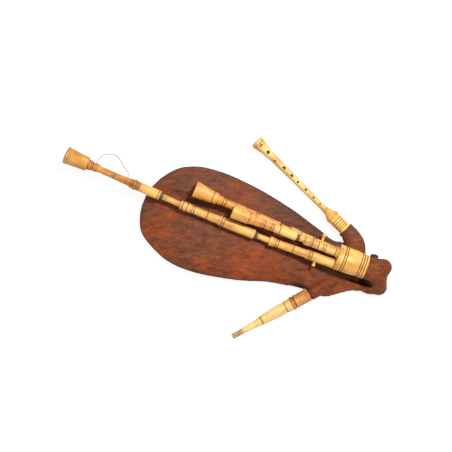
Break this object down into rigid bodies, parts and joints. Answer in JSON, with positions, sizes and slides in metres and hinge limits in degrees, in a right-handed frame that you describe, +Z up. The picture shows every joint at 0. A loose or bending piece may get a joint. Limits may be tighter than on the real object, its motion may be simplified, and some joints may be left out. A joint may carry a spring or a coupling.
{
  "type": "bagpipes",
  "caption": "Small mouth-blown bagpipe with a pear-shaped leather bag, drones in one common stock, a chanter on a leather neck and a turned blowpipe.",
  "frame": {"origin": "under the middle of the footprint, on the table", "axes": "+X along the longest extent, from the bass bell towards the drone stock; +Z up"},
  "size_m": [0.7772, 0.4822, 0.0987],
  "materials": {
    "boxwood": "oiled, satin",
    "orange_boxwood": "stained and oiled, satin",
    "pale_boxwood": "oiled, satin",
    "cane": "bare cane",
    "brass": "drawn tube",
    "leather": "brown bag hide, satin",
    "welt_leather": "dark edge",
    "dark_thread": "waxed thread",
    "grey_thread": "thin cotton"
  },
  "bodies": {
    "bag": {"bag": "leather", "bag_welt": "welt_leather", "drone_stock": "boxwood", "drone_stock_tie": "dark_thread", "blowpipe_stock": "orange_boxwood", "blowpipe_tie": "dark_thread"},
    "bass_bottom": {"bass_bottom": "boxwood", "bass_foot_winding": "dark_thread", "bass_lower_winding": "dark_thread", "bass_reed": "cane"},
    "bass_bridle": {"bass_reed_bridle": "dark_thread"},
    "bass_key": {"bass_stop_key": "orange_boxwood"},
    "bass_middle": {"bass_middle": "boxwood", "bass_upper_winding": "dark_thread"},
    "bass_bell": {"bass_bell": "orange_boxwood", "thread_loop": "grey_thread"},
    "tenor_bottom": {"tenor_bottom": "boxwood", "tenor_foot_winding": "dark_thread", "tenor_winding": "dark_thread", "tenor_reed": "cane"},
    "tenor_bridle": {"tenor_reed_bridle": "dark_thread"},
    "tenor_top": {"tenor_top": "boxwood"},
    "treble_bottom": {"treble_bottom": "boxwood", "treble_foot_winding": "dark_thread", "treble_winding": "dark_thread", "treble_reed": "cane"},
    "treble_bridle": {"treble_reed_bridle": "dark_thread"},
    "treble_key": {"treble_stop_key": "orange_boxwood"},
    "treble_top": {"treble_top": "boxwood"},
    "chanter_neck": {"chanter_neck": "leather", "chanter_stock": "boxwood", "chanter_tie": "dark_thread"},
    "chanter": {"chanter": "boxwood", "chanter_winding": "dark_thread", "chanter_reed_staple": "brass", "chanter_reed": "cane", "chanter_reed_binding": "dark_thread"},
    "blowpipe": {"blowpipe": "pale_boxwood", "blowpipe_winding": "dark_thread", "valve_tie": "dark_thread"},
    "mouthpiece": {"mouthpiece": "pale_boxwood", "tip_winding": "dark_thread"},
    "valve": {"valve_flap": "leather"}
  },
  "joints": [
    {"name": "bass_drone_pull", "type": "slide", "parent": "bag", "child": "bass_bottom", "axis": [-0.9409, 0.3387, 0.0017], "range_m": [0, 0.034]},
    {"name": "bass_middle_tune", "type": "slide", "parent": "bass_bottom", "child": "bass_middle", "axis": [-0.9265, 0.3762, 0.0017], "range_m": [-0.024, 0.018]},
    {"name": "bass_bell_tune", "type": "slide", "parent": "bass_middle", "child": "bass_bell", "axis": [-0.9171, 0.3987, 0.0017], "range_m": [-0.036, 0.018]},
    {"name": "bass_key_turn", "type": "hinge", "parent": "bass_bottom", "child": "bass_key", "pos_m": [0.20627, -0.0464, 0.05418], "axis": [0.3387, 0.9409, 0], "range_deg": [0, 90]},
    {"name": "bass_bridle_tune", "type": "slide", "parent": "bass_bottom", "child": "bass_bridle", "axis": [-0.9409, 0.3387, 0.0017], "range_m": [-0.006, 0.003]},
    {"name": "tenor_drone_pull", "type": "slide", "parent": "bag", "child": "tenor_bottom", "axis": [-0.9293, 0.3679, 0.0332], "range_m": [0, 0.034]},
    {"name": "tenor_tune", "type": "slide", "parent": "tenor_bottom", "child": "tenor_top", "axis": [-0.9293, 0.3679, 0.0332], "range_m": [-0.019, 0.016]},
    {"name": "tenor_bridle_tune", "type": "slide", "parent": "tenor_bottom", "child": "tenor_bridle", "axis": [-0.9293, 0.3679, 0.0332], "range_m": [-0.006, 0.003]},
    {"name": "treble_drone_pull", "type": "slide", "parent": "bag", "child": "treble_bottom", "axis": [-0.9151, 0.3998, 0.0523], "range_m": [0, 0.034]},
    {"name": "treble_tune", "type": "slide", "parent": "treble_bottom", "child": "treble_top", "axis": [-0.9151, 0.3998, 0.0523], "range_m": [-0.025, 0.016]},
    {"name": "treble_key_turn", "type": "hinge", "parent": "treble_bottom", "child": "treble_key", "pos_m": [0.21774, -0.01579, 0.04316], "axis": [0.4004, 0.9164, 0], "range_deg": [0, 90]},
    {"name": "treble_bridle_tune", "type": "slide", "parent": "treble_bottom", "child": "treble_bridle", "axis": [-0.9151, 0.3998, 0.0523], "range_m": [-0.006, 0.003]},
    {"name": "chanter_swing", "type": "hinge", "parent": "bag", "child": "chanter_neck", "pos_m": [0.3011, -0.0184, 0.02], "axis": [0, 0, 1], "range_deg": [-12, 8]},
    {"name": "chanter_pull", "type": "slide", "parent": "chanter_neck", "child": "chanter", "axis": [-0.7083, 0.7058, -0.0127], "range_m": [0, 0.03]},
    {"name": "blowpipe_pull", "type": "slide", "parent": "bag", "child": "blowpipe", "axis": [-0.8738, -0.4863, 0], "range_m": [0, 0.042]},
    {"name": "mouthpiece_pull", "type": "slide", "parent": "blowpipe", "child": "mouthpiece", "axis": [-0.8738, -0.4863, 0], "range_m": [0, 0.028]},
    {"name": "valve_swing", "type": "hinge", "parent": "blowpipe", "child": "valve", "pos_m": [0.18536, -0.13861, 0.023], "axis": [0.4863, -0.8738, 0], "range_deg": [0, 60]}
  ]
}
